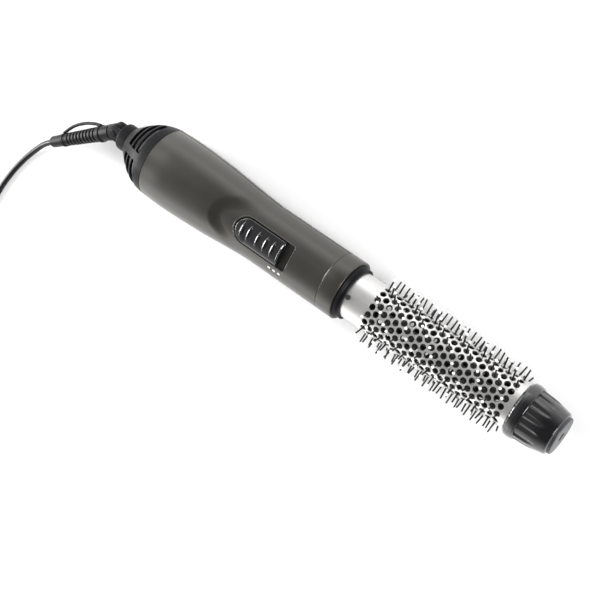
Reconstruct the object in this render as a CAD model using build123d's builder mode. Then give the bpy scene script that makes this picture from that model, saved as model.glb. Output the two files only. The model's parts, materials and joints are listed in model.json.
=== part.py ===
from build123d import *

import os
from math import cos, pi, radians, sin, tan

# Hot air brush: a corded hair styler with a fan and heater in the handle and a bristled barrel.
#
# The handle and the barrel share one straight axis, which runs along +X towards the tip. The tool
# lies on a flat surface, at Z = 0, with its switch facing up. Stations along the axis are measured
# from the nose, the front end of the handle: negative ones lie in the handle, positive ones in the
# barrel. Radii and heights are measured from the axis.

os.makedirs("parts", exist_ok=True)

# --- driving dimensions, mm -------------------------------------------------------------------
MAX_RADIUS = 25.4  # widest place of the handle, which rests on the surface
NOSE_X = 32.5  # nose station in the part's frame, which centres the tool on the origin

HANDLE_RADIUS = 20.6
HANDLE_WALL = 2.2
CAP_SEAM = -160.5  # station where the rear cap meets the shells
SLEEVE_SEAM = -11.8  # station where the shells meet the nose sleeve
SEAM_GAP = 0.2
WAIST = -68.5
SCOOP_APEX = -102.5

BARREL_RADIUS = 16.0
BARREL_WALL = 0.8
BARREL_END = 128.6
HOLE_RADIUS = 2.1
HOLES_PER_RING = 18
HOLE_RINGS = 23
FIRST_RING = 23.3
RING_PITCH = 4.51
BARREL_TURN = 3.2  # degrees that the first ring of holes is turned from the top
BRISTLE_RADIUS = 0.5
BRISTLE_TIP = 24.5
BALL_RADIUS = 0.9

RECESS_REAR = -84.0
RECESS_FRONT = -37.9
RECESS_WIDTH = 20.0
BUTTON_REAR = -81.9
BUTTON_FRONT = -45.3
BUTTON_WIDTH = 16.8
BUTTON_TRAVEL = 6.0

KNUCKLE_STATION = -205.0
ELBOW_BEND = 37.2  # degrees between the lead's exit and the handle's axis, at rest
ELBOW_ROLL = 203.2  # degrees about +X from +Y to the side that the elbow bends to, at rest
ARM_RADIUS = 5.4
ARM_END = 20.4
RELIEF_END = 71.5

CORD_DIAMETER = 4.2
CORD_LENGTH = 1800.0  # from the strain relief's end to the plug

# --- planes and axis ---------------------------------------------------------------------------
NOSE = Vector(NOSE_X, 0, MAX_RADIUS)
SECTION = Plane(origin=NOSE, x_dir=(1, 0, 0), z_dir=(0, -1, 0))  # station across, radius up
CROSS = Plane(origin=NOSE, x_dir=(0, 1, 0), z_dir=(1, 0, 0))  # looks along the axis
PLAN = Plane(origin=NOSE, x_dir=(1, 0, 0), z_dir=(0, 0, 1))  # station across, seen from above
HANDLE_AXIS = Axis(NOSE, (1, 0, 0))

LATERAL = Vector(0, cos(radians(ELBOW_ROLL)), sin(radians(ELBOW_ROLL)))
EXIT_DIRECTION = Vector(-1, 0, 0) * cos(radians(ELBOW_BEND)) + LATERAL * sin(radians(ELBOW_BEND))
PIN_DIRECTION = LATERAL.cross(Vector(1, 0, 0)).normalized()
KNUCKLE = NOSE + Vector(KNUCKLE_STATION, 0, 0)
LEAD = Plane(origin=KNUCKLE, x_dir=PIN_DIRECTION, z_dir=EXIT_DIRECTION)  # looks along the lead
LEAD_AXIS = Axis(KNUCKLE, EXIT_DIRECTION)


def keep(name, built):
    """Label a finished sub-part and write it out."""
    built.label = name
    export_step(built, f"parts/{name}.step")


def ring(start, end, outer, inner=0.0):
    """A plain ring or disc about the handle's axis between two stations."""
    with BuildPart() as turned:
        with BuildSketch(CROSS.offset(start)):
            Circle(outer)
            if inner:
                Circle(inner, mode=Mode.SUBTRACT)
        extrude(amount=end - start)
    return turned.part


def turned_section(points):
    """A solid of revolution about the handle's axis from a closed outline of straight edges."""
    with BuildPart() as turned:
        with BuildSketch(SECTION):
            with BuildLine():
                Polyline(*points, close=True)
            make_face()
        revolve(axis=HANDLE_AXIS)
    return turned.part


def lead_ring(start, end, outer, inner=0.0):
    """A plain ring or disc about the lead's exit between two distances from the knuckle."""
    with BuildPart() as turned:
        with BuildSketch(LEAD.offset(start)):
            Circle(outer)
            if inner:
                Circle(inner, mode=Mode.SUBTRACT)
        extrude(amount=end - start)
    return turned.part


# --- handle shells -----------------------------------------------------------------------------
BULGE = [(CAP_SEAM, 25.1), (-143.0, 25.37), (-112.0, 24.0), (-82.5, 21.45), (WAIST, HANDLE_RADIUS)]
INNER_FRONT = HANDLE_RADIUS - HANDLE_WALL
SHELL_END = SLEEVE_SEAM - SEAM_GAP
SCREW_STATIONS = (-90.0, -38.0)
BOSS_RADIUS = 3.2


def handle_solid():
    """The swollen rear and slim front of the handle as one solid, before it is hollowed."""
    with BuildPart() as handle:
        with BuildSketch(SECTION):
            with BuildLine():
                Spline(*BULGE)
                Polyline((WAIST, HANDLE_RADIUS), (SHELL_END, HANDLE_RADIUS), (SHELL_END, 0),
                         (CAP_SEAM, 0), BULGE[0])
            make_face()
        revolve(axis=HANDLE_AXIS)
    return handle.part


def scoop():
    """What is cut off the swollen rear so that the slim front runs back to a round arch."""
    reach = MAX_RADIUS + 1
    with BuildPart() as cutter:
        with BuildSketch(PLAN):
            with BuildLine():
                Spline((WAIST, reach), (-84.5, 18.6), (-96.5, 11.8), (SCOOP_APEX, 0), (-96.5, -11.8), (-84.5, -18.6),
                       (WAIST, -reach))
                Line((WAIST, -reach), (WAIST, reach))
            make_face()
        extrude(amount=reach)
        add(ring(SCOOP_APEX - 1, WAIST + 1, HANDLE_RADIUS), mode=Mode.SUBTRACT)
    return cutter.part


def recess_outline(inset):
    """The switch recess seen from above: a round rear end and a squared front end."""
    half = RECESS_WIDTH / 2 - inset
    rear = RECESS_REAR + inset
    front = RECESS_FRONT - inset
    with BuildSketch(PLAN) as outline:
        with Locations(((rear + half + front) / 2, 0)):
            Rectangle(front - rear - half, 2 * half)
        with Locations((rear + half, 0)):
            Circle(half)
        corners = outline.vertices().group_by(Axis.X)[-1]
        fillet(corners, 2.0)
    return outline.sketch


def shell_blank():
    """The whole casing as one hollow body, which is then parted at the axis."""
    cavity = [(CAP_SEAM - 1, 0), (CAP_SEAM - 1, 22.6), (-112.0, 21.4), (-105.0, INNER_FRONT),
              (SHELL_END + 1, INNER_FRONT), (SHELL_END + 1, 0)]
    with BuildPart() as blank:
        add(handle_solid())
        add(turned_section(cavity), mode=Mode.SUBTRACT)
        add(scoop(), mode=Mode.SUBTRACT)
    return blank.part


def screw_columns(start, end, radius):
    """One upright round column at each housing screw, between two heights above the axis."""
    with BuildPart() as columns:
        with BuildSketch(PLAN.offset(start)):
            with Locations(*[(station, 0) for station in SCREW_STATIONS]):
                Circle(radius)
        extrude(amount=end - start)
    return columns.part


INSIDE_FRONT = INNER_FRONT + 0.6
SCREW_HEAD = -17.4  # height of the screw heads' inner face above the axis
BLANK = shell_blank()

with BuildPart() as upper_shell:
    add(BLANK)
    split(bisect_by=PLAN, keep=Keep.TOP)
    add(screw_columns(0.1, INSIDE_FRONT, BOSS_RADIUS))
    add(screw_columns(0.0, 12.0, 1.2), mode=Mode.SUBTRACT)
    extrude(recess_outline(0.0), amount=MAX_RADIUS, mode=Mode.SUBTRACT)
keep("upper_shell", upper_shell.part)

with BuildPart() as lower_shell:
    add(BLANK)
    split(bisect_by=PLAN, keep=Keep.BOTTOM)
    add(screw_columns(-INSIDE_FRONT, 0.0, BOSS_RADIUS))
    add(screw_columns(-MAX_RADIUS, 1.0, 1.6), mode=Mode.SUBTRACT)
    add(screw_columns(-MAX_RADIUS, SCREW_HEAD, 2.9), mode=Mode.SUBTRACT)
keep("lower_shell", lower_shell.part)

with BuildPart() as housing_screws:
    add(screw_columns(SCREW_HEAD - 1.8, SCREW_HEAD, 2.7))
    add(screw_columns(SCREW_HEAD, 9.0, 1.2))
keep("housing_screws", housing_screws.part)

# --- nose --------------------------------------------------------------------------------------
with BuildPart() as nose_sleeve:
    add(ring(SLEEVE_SEAM, 0.0, HANDLE_RADIUS, INNER_FRONT))
    chamfer(nose_sleeve.edges().filter_by(GeomType.CIRCLE).sort_by(SortBy.RADIUS)[-2:], 0.35)
keep("nose_sleeve", nose_sleeve.part)

RING_LIP = 4.5
with BuildPart() as front_ring:
    with BuildSketch(SECTION):
        with BuildLine():
            Polyline((0, BARREL_RADIUS + 0.1), (0, 19.3), (1.0, 19.3))
            ThreePointArc((1.0, 19.3), (2.6, 17.75), (RING_LIP - 0.8, 17.2))
            Polyline((RING_LIP - 0.8, 17.2), (RING_LIP - 0.8, 17.9), (RING_LIP, 17.9),
                     (RING_LIP, BARREL_RADIUS + 0.1), (0, BARREL_RADIUS + 0.1))
        make_face()
    revolve(axis=HANDLE_AXIS)
keep("front_ring", front_ring.part)

with BuildPart() as barrel_socket:
    add(ring(-30.0, 0.0, INNER_FRONT, BARREL_RADIUS))
    add(ring(-32.0, -30.0, INNER_FRONT, 14.0))
keep("barrel_socket", barrel_socket.part)

# --- rear cap ----------------------------------------------------------------------------------
CAP_REAR = -189.5
CAP_HOLE = 10.0
DOME = [(CAP_REAR, 11.0), (-187.0, 13.0), (-181.0, 17.7), (-174.0, 21.9), (-167.0, 24.2),
        (CAP_SEAM, 25.1)]
CAP_WALL = 2.4
SLOTS = [(-182.4, -178.2), (-177.0, -172.8), (-171.6, -167.6)]
BRIDGE_WIDTH = 5.6


def vent_slots():
    """Ring-shaped slots through the dome, each broken by four bridges."""
    with BuildPart() as slots:
        for start, end in SLOTS:
            with BuildSketch(CROSS.offset(start)):
                Circle(MAX_RADIUS + 1)
                Circle(12.0, mode=Mode.SUBTRACT)
            extrude(amount=end - start)
        with BuildSketch(CROSS.offset(SLOTS[0][0])):
            for angle in (0, 90):
                Rectangle(3 * MAX_RADIUS, BRIDGE_WIDTH, rotation=angle)
        extrude(amount=SLOTS[-1][1] - SLOTS[0][0], mode=Mode.SUBTRACT)
    return slots.part


with BuildPart() as rear_cap:
    with BuildSketch(SECTION):
        with BuildLine():
            Spline(*DOME)
            Polyline(DOME[-1], (CAP_SEAM, 25.1 - CAP_WALL), (-167.0, 24.2 - CAP_WALL),
                     (-174.0, 21.9 - CAP_WALL), (-181.0, 17.7 - CAP_WALL), (-186.0, 11.4),
                     (-186.0, CAP_HOLE), (CAP_REAR, CAP_HOLE), DOME[0])
        make_face()
    revolve(axis=HANDLE_AXIS)
    add(vent_slots(), mode=Mode.SUBTRACT)
keep("rear_cap", rear_cap.part)

with BuildPart() as inlet_filter:
    add(ring(-166.5, -165.3, 21.2, 8.6))
    add(turned_section([(-184.0, 12.5), (-181.0, 14.9), (-174.0, 19.1), (-166.5, 21.2), (-166.5, 20.4),
                        (-174.0, 18.5), (-181.0, 14.3), (-184.0, 11.9)]))
    with BuildSketch(CROSS.offset(-167.0)):
        for hole_circle, count in ((10.6, 18), (13.4, 24), (16.2, 30), (19.0, 36)):
            with PolarLocations(hole_circle, count):
                Circle(0.9)
    extrude(amount=2.0, mode=Mode.SUBTRACT)
keep("inlet_filter", inlet_filter.part)

# --- fan and motor -----------------------------------------------------------------------------
SHROUD_RADIUS = 21.0
FAN_RADIUS = 19.6
FAN_REAR = -152.0
FAN_FRONT = -139.5
BLADES = 7
VANES = 9
CAN_RADIUS = 12.0
CAN_REAR = -134.0
CAN_FRONT = -104.0
SHAFT_RADIUS = 1.15

with BuildPart() as motor_mount:
    add(ring(-157.0, -117.0, SHROUD_RADIUS, SHROUD_RADIUS - 1.0))
    add(ring(-131.0, -117.0, CAN_RADIUS + 1.2, CAN_RADIUS))
    with BuildSketch(CROSS.offset(-131.0)):
        with PolarLocations((SHROUD_RADIUS + CAN_RADIUS) / 2, VANES):
            Rectangle(SHROUD_RADIUS - CAN_RADIUS - 1.4, 1.0)
    extrude(amount=14.0)
keep("motor_mount", motor_mount.part)

with BuildPart() as motor_can:
    add(ring(CAN_REAR, CAN_FRONT, CAN_RADIUS, CAN_RADIUS - 0.8))
    add(ring(CAN_REAR, CAN_REAR + 1.2, CAN_RADIUS - 0.8, SHAFT_RADIUS + 0.05))
keep("motor_can", motor_can.part)

with BuildPart() as motor_magnets:
    add(ring(-128.0, -111.0, CAN_RADIUS - 0.8, 9.2))
    with BuildSketch(CROSS.offset(-128.0)):
        Rectangle(2 * CAN_RADIUS, 7.0)
    extrude(amount=17.0, mode=Mode.SUBTRACT)
keep("motor_magnets", motor_magnets.part)

with BuildPart() as motor_end_cap:
    add(ring(CAN_FRONT, CAN_FRONT + 4.5, CAN_RADIUS, SHAFT_RADIUS + 0.05))
    fillet(motor_end_cap.edges().filter_by(GeomType.CIRCLE).group_by(Axis.X)[-1], 0.6)
keep("motor_end_cap", motor_end_cap.part)

with BuildPart() as motor_terminals:
    with BuildSketch(CROSS.offset(CAN_FRONT + 4.5)):
        with Locations((7.0, 0), (-7.0, 0)):
            Rectangle(0.5, 3.0)
    extrude(amount=6.0)
keep("motor_terminals", motor_terminals.part)

keep("motor_shaft", ring(-153.5, CAN_FRONT + 5.5, SHAFT_RADIUS))

with BuildPart() as armature:
    with BuildSketch(CROSS.offset(-127.0)):
        Circle(8.6)
        with PolarLocations(8.2, 3):
            Rectangle(3.0, 1.6, mode=Mode.SUBTRACT)
        Circle(SHAFT_RADIUS, mode=Mode.SUBTRACT)
    extrude(amount=14.0)
    add(ring(-112.5, -106.0, 3.2, SHAFT_RADIUS))
    add(ring(-113.0, -112.5, 5.0, SHAFT_RADIUS))
keep("armature", armature.part)


def fan_blade(index):
    """One flat blade, set at a pitch to the axis and running out past the fan's rim."""
    with BuildPart() as blade:
        turn = 360.0 * index / BLADES
        with Locations(Location(NOSE + Vector((FAN_REAR + FAN_FRONT) / 2, 0, 0))):
            with Locations(Rotation(turn, 0, 0)):
                with Locations(Location((0, 0, 13.5), (0, 0, 38.0))):
                    Box(13.0, 1.3, 14.0)
    return blade.part


with BuildPart() as fan_impeller:
    for blade_index in range(BLADES):
        add(fan_blade(blade_index))
    add(ring(FAN_REAR, FAN_FRONT, FAN_RADIUS), mode=Mode.INTERSECT)
    add(ring(FAN_REAR, FAN_FRONT, 7.5))
    add(ring(FAN_REAR, FAN_FRONT, SHAFT_RADIUS), mode=Mode.SUBTRACT)
keep("fan_impeller", fan_impeller.part)

# --- switch ------------------------------------------------------------------------------------
PLATE_TOP = 16.0
PLATE_UNDER = 14.6
BUTTON_FOOT = 16.15
BUTTON_TOP = 21.0
RIDGE_TOP = 21.9
RIDGE_STATIONS = (-76.7, -71.1, -63.9, -57.6, -51.7)
STEM_REAR = -67.0
STEM_LENGTH = 8.0
BOARD_UNDER = 3.4
BOARD_TOP = 5.0
MARK_STATIONS = (-49.9, -45.8, -41.8)
MARK_ANGLE = 37.0

with BuildPart() as switch_bezel:
    extrude(recess_outline(0.05), amount=MAX_RADIUS)
    extrude(recess_outline(0.95), amount=MAX_RADIUS, mode=Mode.SUBTRACT)
    add(ring(RECESS_REAR - 1, RECESS_FRONT + 1, HANDLE_RADIUS + 0.2, 14.0), mode=Mode.INTERSECT)
keep("switch_bezel", switch_bezel.part)

with BuildPart() as switch_plate:
    extrude(recess_outline(1.0), amount=PLATE_TOP)
    with BuildSketch(PLAN):
        Rectangle(400.0, 40.0)
    extrude(amount=PLATE_UNDER, mode=Mode.SUBTRACT)
    with BuildSketch(PLAN.offset(PLATE_UNDER)):
        with Locations((STEM_REAR + (STEM_LENGTH + BUTTON_TRAVEL) / 2, 0)):
            Rectangle(STEM_LENGTH + BUTTON_TRAVEL + 0.8, 4.6)
    extrude(amount=PLATE_TOP - PLATE_UNDER, mode=Mode.SUBTRACT)
keep("switch_plate", switch_plate.part)


def button_outline():
    """The sliding button seen from above: a round rear end and a squared front end."""
    half = BUTTON_WIDTH / 2
    with BuildSketch(PLAN.offset(BUTTON_FOOT)) as outline:
        with Locations(((BUTTON_REAR + half + BUTTON_FRONT) / 2, 0)):
            Rectangle(BUTTON_FRONT - BUTTON_REAR - half, BUTTON_WIDTH)
        with Locations((BUTTON_REAR + half, 0)):
            Circle(half)
        fillet(outline.vertices().group_by(Axis.X)[-1], 0.8)
    return outline.sketch


def button_ridges():
    """Five finger ridges across the button, and the lip along its front edge."""
    with BuildPart() as ridges:
        with BuildSketch(PLAN.offset(BUTTON_FOOT)):
            with Locations(*[(station, 0) for station in RIDGE_STATIONS]):
                SlotOverall(10.8, 1.7, rotation=90)
            with Locations((BUTTON_FRONT - 0.7, 0)):
                Rectangle(1.4, BUTTON_WIDTH - 1.6)
        extrude(amount=MAX_RADIUS)
        add(ring(BUTTON_REAR, BUTTON_FRONT, RIDGE_TOP), mode=Mode.INTERSECT)
    return ridges.part


with BuildPart() as slide_button:
    extrude(button_outline(), amount=MAX_RADIUS)
    add(ring(BUTTON_REAR - 1, BUTTON_FRONT + 1, BUTTON_TOP), mode=Mode.INTERSECT)
    add(button_ridges())
    with BuildSketch(PLAN.offset(PLATE_UNDER - 0.2)):
        with Locations((STEM_REAR + STEM_LENGTH / 2, 0)):
            Rectangle(STEM_LENGTH, 4.0)
    extrude(amount=BUTTON_FOOT + 1 - PLATE_UNDER)
keep("slide_button", slide_button.part)

with BuildPart() as switch_rider:
    with BuildSketch(PLAN.offset(11.6)):
        with Locations((STEM_REAR + STEM_LENGTH / 2, 0)):
            Rectangle(STEM_LENGTH + 3, 7.0)
    extrude(amount=PLATE_UNDER - 0.2 - 11.6)
keep("switch_rider", switch_rider.part)

with BuildPart() as position_marks:
    with Locations(Location(NOSE)):
        with Locations(Rotation(MARK_ANGLE, 0, 0)):
            with Locations(*[(station, 0, HANDLE_RADIUS) for station in MARK_STATIONS]):
                Box(1.9, 1.2, 1.0)
    add(ring(RECESS_REAR, 0, HANDLE_RADIUS + 0.1, HANDLE_RADIUS), mode=Mode.INTERSECT)
keep("position_marks", position_marks.part)


def inner_box(station_range, width, height_range):
    """A plain block inside the handle, centred across it."""
    start, end = station_range
    low, high = height_range
    with BuildPart() as block:
        with BuildSketch(PLAN.offset(low)):
            with Locations(((start + end) / 2, 0)):
                Rectangle(end - start, width)
        extrude(amount=high - low)
    return block.part


with BuildPart() as switch_body:
    add(inner_box((-77.0, -49.0), 11.0, (BOARD_TOP, 11.4)))
    chamfer(switch_body.edges().filter_by(Axis.Z), 0.8)
keep("switch_body", switch_body.part)

with BuildPart() as circuit_board:
    add(inner_box((-85.0, -44.0), 22.0, (BOARD_UNDER, BOARD_TOP)))
    chamfer(circuit_board.edges().filter_by(Axis.Z), 1.0)
keep("circuit_board", circuit_board.part)

with BuildPart() as diodes:
    with BuildSketch(SECTION.offset(-3.0)):
        with Locations(*[(station, BOARD_UNDER - 1.5) for station in (-80.0, -75.0, -70.0, -65.0)]):
            Circle(1.4)
    extrude(amount=6.0)
keep("diodes", diodes.part)

with BuildPart() as capacitor:
    add(inner_box((-60.0, -48.0), 7.0, (BOARD_UNDER - 8.0, BOARD_UNDER)))
    fillet(capacitor.edges().filter_by(Axis.Z), 0.8)
keep("capacitor", capacitor.part)

# --- heater ------------------------------------------------------------------------------------
HEATER_REAR = -24.0
HEATER_FRONT = 12.0
CROSS_REACH = 10.4
COIL_RADIUS = 11.2
WIRE_RADIUS = 0.4
WIRE_PITCH = 4.4

with BuildPart() as heater_cross:
    with BuildSketch(CROSS.offset(HEATER_REAR)):
        for angle in (0, 90):
            Rectangle(2 * CROSS_REACH, 0.8, rotation=angle)
    extrude(amount=HEATER_FRONT - HEATER_REAR)
keep("heater_cross", heater_cross.part)

with BuildPart() as heater_wire:
    with BuildLine():
        wire_path = Helix(WIRE_PITCH, HEATER_FRONT - HEATER_REAR - 3.0, COIL_RADIUS,
                          center=NOSE + Vector(HEATER_REAR + 1.5, 0, 0), direction=(1, 0, 0))
    with BuildSketch(Plane(origin=wire_path @ 0, z_dir=wire_path % 0)):
        Circle(WIRE_RADIUS)
    sweep(path=wire_path, is_frenet=True)
keep("heater_wire", heater_wire.part)

keep("mica_sleeve", ring(HEATER_REAR - 2.0, HEATER_FRONT + 1.5, 13.9, 13.3))
keep("heater_support", ring(-29.5, -22.3, 15.9, 13.95))

with BuildPart() as thermal_cutout:
    add(ring(-30.5, HEATER_REAR - 0.3, 4.0))
    with BuildSketch(CROSS.offset(-34.0)):
        with Locations((2.2, 0), (-2.2, 0)):
            Rectangle(2.0, 0.5)
    extrude(amount=4.0)
keep("thermal_cutout", thermal_cutout.part)

# --- barrel ------------------------------------------------------------------------------------
BARREL_START = -22.0
BARREL_BORE = BARREL_RADIUS - BARREL_WALL
COLLAR_BORE = 14.1
BARREL_SCREW = 6.8
SCREW_TURN = -4.0  # degrees about the axis from the top to the barrel's upper screw
RING_STEP = 360.0 / HOLES_PER_RING


def hole_place(row, slot, radius):
    """Where a hole's centre line crosses a radius: rows run along the axis, slots around it."""
    angle = 90.0 + BARREL_TURN + slot * RING_STEP + (row % 2) * RING_STEP / 2
    centre = NOSE + Vector(FIRST_RING + row * RING_PITCH, 0, 0)
    outward = Vector(0, cos(radians(angle)), sin(radians(angle)))
    return Plane(origin=centre + outward * radius, z_dir=outward)


def has_bristle(row, slot):
    """Every second hole of a ring holds a bristle, so that the bristles wind around in spirals."""
    return (slot + row // 2) % 2 == 0


HOLES = [(row, slot) for row in range(HOLE_RINGS) for slot in range(HOLES_PER_RING)]
BRISTLE_HOLES = [place for place in HOLES if has_bristle(*place)]
AIR_HOLES = [place for place in HOLES if not has_bristle(*place)]


def radial_pegs(places, radius, low, high):
    """One round peg along the centre line of each hole, between two radii."""
    with BuildPart() as pegs:
        with Locations(*[Location(hole_place(row, slot, low)) for row, slot in places]):
            Cylinder(radius, high - low, align=(Align.CENTER, Align.CENTER, Align.MIN))
    return pegs.part


def screw_stack(radius, low, high):
    """Two round pegs through the barrel's base, on the switch side and opposite it."""
    with BuildPart() as pegs:
        for side in (1, -1):
            with Locations(Location(Plane(origin=NOSE + Vector(BARREL_SCREW, 0, side * low),
                                          z_dir=(0, 0, side)))):
                Cylinder(radius, high - low, align=(Align.CENTER, Align.CENTER, Align.MIN))
    return pegs.part


with BuildPart() as barrel:
    add(ring(BARREL_START, BARREL_END, BARREL_RADIUS, BARREL_BORE))
    add(radial_pegs(HOLES, HOLE_RADIUS, BARREL_BORE - 1, BARREL_RADIUS + 1), mode=Mode.SUBTRACT)
    add(screw_stack(1.1, 14.0, 17.0).rotate(HANDLE_AXIS, SCREW_TURN), mode=Mode.SUBTRACT)
keep("barrel", barrel.part)

with BuildPart() as inner_collar:
    add(ring(-20.0, 14.0, BARREL_BORE - 0.05, COLLAR_BORE))
    add(screw_stack(1.0, 13.0, 17.0).rotate(HANDLE_AXIS, SCREW_TURN), mode=Mode.SUBTRACT)
keep("inner_collar", inner_collar.part)

with BuildPart() as barrel_screws:
    add(screw_stack(1.0, 14.2, BARREL_RADIUS + 0.02))
    add(screw_stack(1.7, BARREL_RADIUS + 0.02, BARREL_RADIUS + 0.7))
    for turn_angle in (0, 90):
        with BuildSketch(PLAN.offset(-BARREL_RADIUS - 1)):
            with Locations((BARREL_SCREW, 0)):
                Rectangle(2.2, 0.5, rotation=turn_angle)
        extrude(amount=0.7, mode=Mode.SUBTRACT)
        with BuildSketch(PLAN.offset(BARREL_RADIUS + 0.3)):
            with Locations((BARREL_SCREW, 0)):
                Rectangle(2.2, 0.5, rotation=turn_angle)
        extrude(amount=0.7, mode=Mode.SUBTRACT)
keep("barrel_screws", barrel_screws.part.rotate(HANDLE_AXIS, SCREW_TURN))

# --- bristles ----------------------------------------------------------------------------------
SLEEVE_OUTER = BARREL_BORE - 0.05
SLEEVE_INNER = 14.2
SLEEVE_END = 125.4
BRISTLE_FOOT = SLEEVE_OUTER - 0.5
MAX_LEAN = 8.0
GOLDEN_ANGLE = 137.5

with BuildPart() as bristle_sleeve:
    add(ring(20.0, SLEEVE_END, SLEEVE_OUTER, SLEEVE_INNER))
    add(radial_pegs(AIR_HOLES, 1.7, SLEEVE_INNER - 1, SLEEVE_OUTER + 1), mode=Mode.SUBTRACT)
keep("bristle_sleeve", bristle_sleeve.part)


def bristle_seat(index, along=0.0):
    """Where a bristle stands: each leans a few degrees its own way, like soft nylon does."""
    row, slot = BRISTLE_HOLES[index]
    lean = MAX_LEAN * sin(radians(index * GOLDEN_ANGLE / 2))
    seat = Location(hole_place(row, slot, BRISTLE_FOOT))
    return seat * Rotation(0, 0, index * GOLDEN_ANGLE) * Rotation(lean, 0, 0) * Pos(0, 0, along)


BRISTLE_LENGTH = BRISTLE_TIP - BRISTLE_FOOT
BRISTLES = range(len(BRISTLE_HOLES))

with BuildPart() as bristle_pins:
    with Locations(*[bristle_seat(index) for index in BRISTLES]):
        Cone(0.62, BRISTLE_RADIUS, BRISTLE_LENGTH - 0.3,
             align=(Align.CENTER, Align.CENTER, Align.MIN))
keep("bristle_pins", bristle_pins.part)

with BuildPart() as ball_tips:
    with Locations(*[bristle_seat(index, BRISTLE_LENGTH - BALL_RADIUS) for index in BRISTLES]):
        Sphere(BALL_RADIUS)
    add(bristle_pins.part, mode=Mode.SUBTRACT)
keep("ball_tips", ball_tips.part)

# --- tip ---------------------------------------------------------------------------------------
FLANGE_RADIUS = 18.4
FLANGE_END = 136.4
KNOB_END = 157.2
TIP_END = 159.0
FLUTES = 14

with BuildPart() as rod_spider:
    with BuildSketch(CROSS.offset(14.8)):
        Circle(SLEEVE_OUTER)
        Circle(SLEEVE_INNER, mode=Mode.SUBTRACT)
        for spoke_angle in (90, 210, 330):
            with PolarLocations(7.2, 1, start_angle=spoke_angle):
                Rectangle(14.4, 1.4)
        Circle(3.8)
        Circle(2.0, mode=Mode.SUBTRACT)
    extrude(amount=4.6)
keep("rod_spider", rod_spider.part)

keep("tip_plug", ring(SLEEVE_END + 0.2, BARREL_END, SLEEVE_OUTER, 2.0))

with BuildPart() as tip_cap:
    with BuildSketch(SECTION):
        with BuildLine():
            Polyline((BARREL_END, 0), (BARREL_END, 17.3))
            ThreePointArc((BARREL_END, 17.3), (132.4, FLANGE_RADIUS), (FLANGE_END, 17.7))
            Polyline((FLANGE_END, 17.7), (FLANGE_END, 17.0))
            Spline((FLANGE_END, 17.0), (146.5, 16.3), (155.0, 14.6))
            ThreePointArc((155.0, 14.6), (156.6, 14.1), (KNOB_END, 13.0))
            Polyline((KNOB_END, 13.0), (KNOB_END, 0), (BARREL_END, 0))
        make_face()
    revolve(axis=HANDLE_AXIS)
    with BuildSketch(CROSS.offset(FLANGE_END)):
        with PolarLocations(18.2, FLUTES):
            Circle(2.5)
    extrude(amount=KNOB_END - FLANGE_END, mode=Mode.SUBTRACT)
    add(ring(BARREL_END, 142.0, 2.0), mode=Mode.SUBTRACT)
keep("tip_cap", tip_cap.part)

with BuildPart() as tip_disc:
    add(ring(KNOB_END, TIP_END, 12.7))
    fillet(tip_disc.edges().group_by(Axis.X)[-1], 0.5)
    add(ring(TIP_END - 0.7, TIP_END, 2.8), mode=Mode.SUBTRACT)
keep("tip_disc", tip_disc.part)

with BuildPart() as tie_rod:
    add(ring(14.0, 142.0, 2.0))
    add(ring(12.8, 14.8, 3.4))
keep("tie_rod", tie_rod.part)

# --- cord swivel -------------------------------------------------------------------------------
COLLAR_RADIUS = 9.6
COLLAR_REAR = -198.2
COLLAR_FRONT = -187.4
STUB_RADIUS = 4.0
STUB_FRONT = -169.5
CONTACT_STATIONS = (-182.5, -177.0)
CONTACT_WIDTH = 3.0
EAR = Plane(origin=KNUCKLE, x_dir=(-1, 0, 0), z_dir=PIN_DIRECTION)
TONGUE = Plane(origin=KNUCKLE, x_dir=EXIT_DIRECTION, z_dir=PIN_DIRECTION)
EAR_INNER = 2.6
EAR_OUTER = 5.2
PIN_RADIUS = 1.6

with BuildPart() as swivel_socket:
    add(ring(-185.9, -184.3, 11.2, STUB_RADIUS + 0.05))
    add(ring(-184.3, -171.0, 6.6, STUB_RADIUS + 0.05))
    for contact_station in CONTACT_STATIONS:
        with BuildSketch(CROSS.offset(contact_station + 0.5)):
            with Locations((6.0, 0), (-6.0, 0)):
                Rectangle(6.0, 2.4)
        extrude(amount=CONTACT_WIDTH - 1.0, mode=Mode.SUBTRACT)
keep("swivel_socket", swivel_socket.part)

with BuildPart() as contact_springs:
    for contact_station in CONTACT_STATIONS:
        with BuildSketch(CROSS.offset(contact_station + 0.6)):
            with Locations((6.2, 0), (-6.2, 0)):
                Rectangle(4.0, 2.0)
        extrude(amount=CONTACT_WIDTH - 1.2)
keep("contact_springs", contact_springs.part)


def ear_pair():
    """The two ears that hold the knuckle pin, as one pair of plates."""
    with BuildPart() as ears:
        for low in (EAR_INNER, -EAR_OUTER):
            with BuildSketch(EAR.offset(low)):
                Circle(ARM_RADIUS)
                with Locations((-5.0, 0)):
                    Rectangle(10.0, 2 * ARM_RADIUS)
            extrude(amount=EAR_OUTER - EAR_INNER)
    return ears.part


with BuildPart() as swivel_collar:
    add(ring(COLLAR_REAR, COLLAR_FRONT, COLLAR_RADIUS))
    fillet(swivel_collar.edges().filter_by(GeomType.CIRCLE).group_by(Axis.X)[0], 1.4)
    add(ring(COLLAR_FRONT, STUB_FRONT, STUB_RADIUS))
    add(ear_pair())
    with BuildSketch(EAR.offset(-EAR_OUTER)):
        Circle(PIN_RADIUS)
    extrude(amount=2 * EAR_OUTER, mode=Mode.SUBTRACT)
    for contact_station in CONTACT_STATIONS:
        add(ring(contact_station, contact_station + CONTACT_WIDTH, STUB_RADIUS + 1, STUB_RADIUS - 0.6),
            mode=Mode.SUBTRACT)
    add(ring(-170.8, -170.0, STUB_RADIUS + 1, STUB_RADIUS - 0.5), mode=Mode.SUBTRACT)
keep("swivel_collar", swivel_collar.part)

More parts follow.
